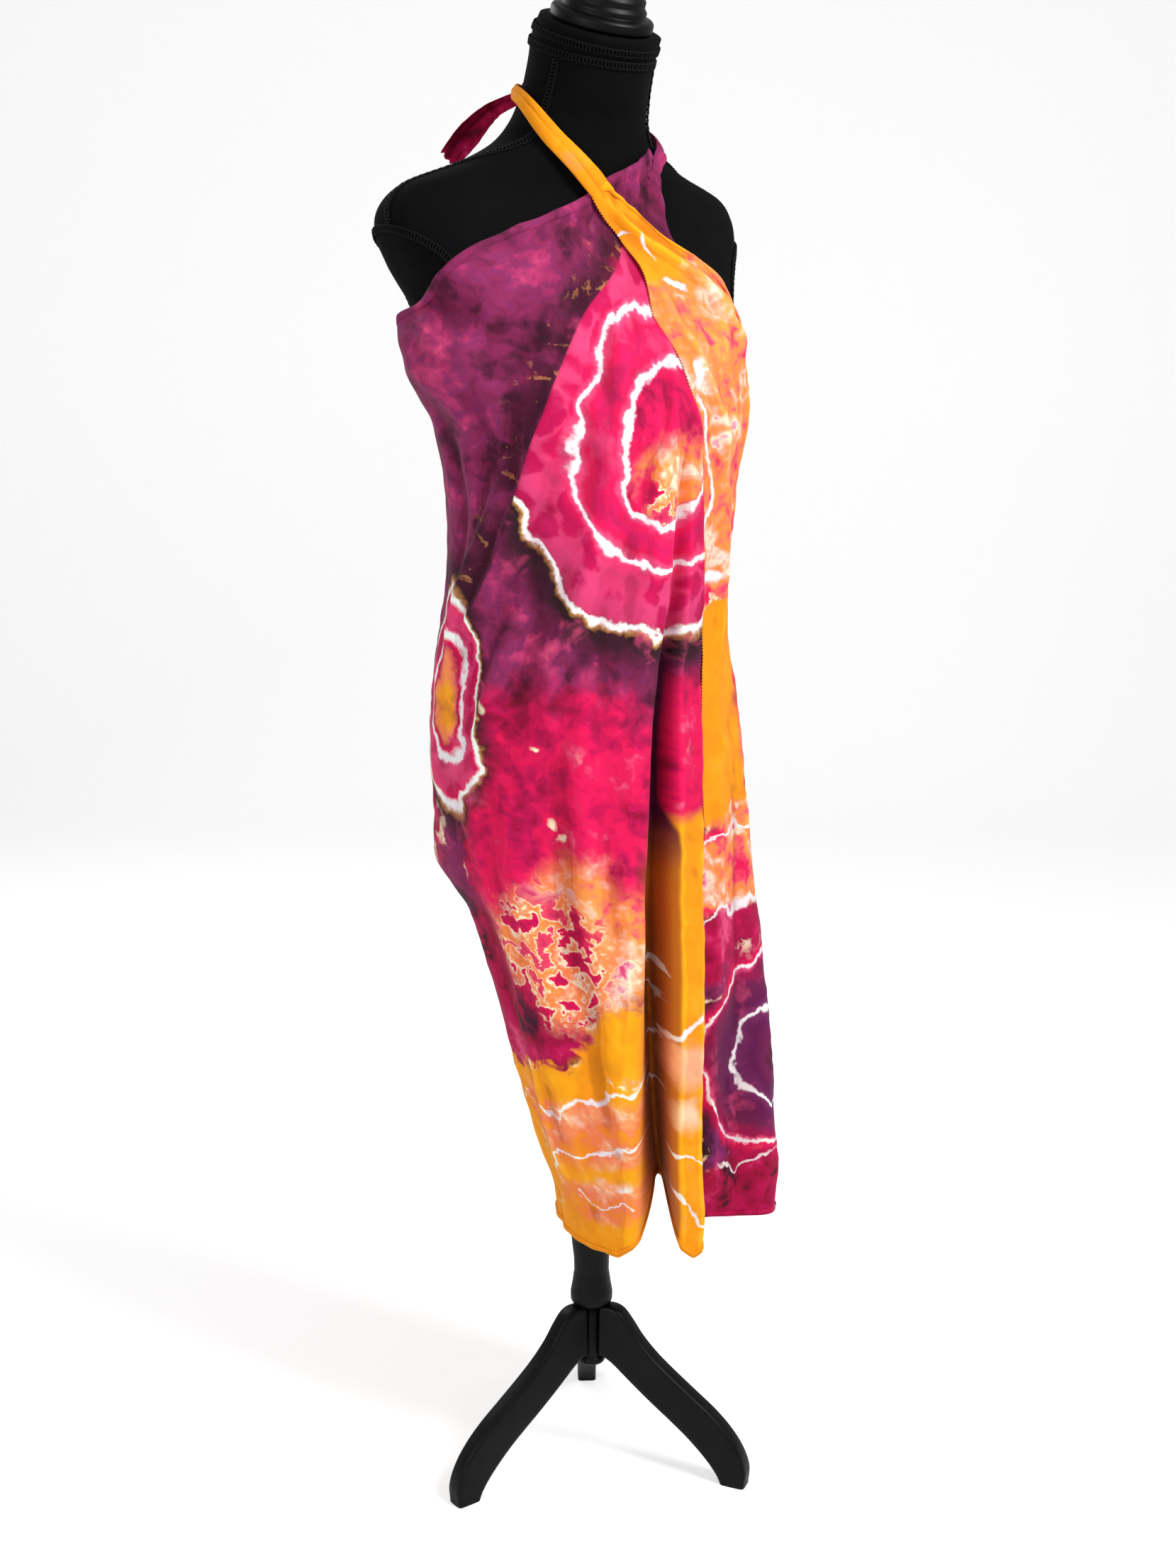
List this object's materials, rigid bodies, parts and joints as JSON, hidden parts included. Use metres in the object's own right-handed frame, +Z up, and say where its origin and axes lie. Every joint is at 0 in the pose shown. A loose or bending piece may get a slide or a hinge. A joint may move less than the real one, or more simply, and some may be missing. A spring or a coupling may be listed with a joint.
{
  "type": "sarong on a limbless dress form",
  "caption": "Halter-tied wrap sarong with ring tie-dye, worn on a limbless black dress form with a turned pole and curved wooden legs.",
  "frame": {"origin": "centre of the bounding box's base, on the floor under the form", "axes": "+Z up; the form faces -Y, so its right side is towards -X"},
  "size_m": [0.3832, 0.3343, 1.5338],
  "materials": {
    "form_torso": "matt black jersey cover",
    "form_neck_braid": "black woven braid",
    "form_neck_cap": "satin black lacquer",
    "stand_pole": "satin black lacquer",
    "stand_hub": "satin black lacquer",
    "stand_leg_right": "satin black lacquer",
    "stand_leg_front": "satin black lacquer",
    "stand_leg_back": "satin black lacquer",
    "sarong_under_front": "soft plain-woven rayon, dyed plum, pink and orange",
    "sarong_over_front": "soft plain-woven rayon, dyed orange, pink and plum",
    "sarong_back": "soft plain-woven rayon, dyed plum and pink",
    "sarong_strap_over": "soft plain-woven rayon, dyed orange",
    "sarong_strap_under": "soft plain-woven rayon, dyed plum",
    "sarong_knot": "soft plain-woven rayon, dyed magenta",
    "sarong_tail_right": "soft plain-woven rayon, dyed magenta",
    "sarong_tail_left": "soft plain-woven rayon, dyed coral"
  },
  "bodies": {
    "root": {"form_torso": "form_torso", "form_neck_braid": "form_neck_braid", "form_neck_cap": "form_neck_cap", "stand_pole": "stand_pole", "stand_hub": "stand_hub", "stand_leg_right": "stand_leg_right", "stand_leg_front": "stand_leg_front", "stand_leg_back": "stand_leg_back", "sarong_under_front": "sarong_under_front", "sarong_over_front": "sarong_over_front", "sarong_back": "sarong_back", "sarong_strap_over": "sarong_strap_over", "sarong_strap_under": "sarong_strap_under", "sarong_knot": "sarong_knot", "sarong_tail_right": "sarong_tail_right", "sarong_tail_left": "sarong_tail_left"}
  },
  "joints": []
}
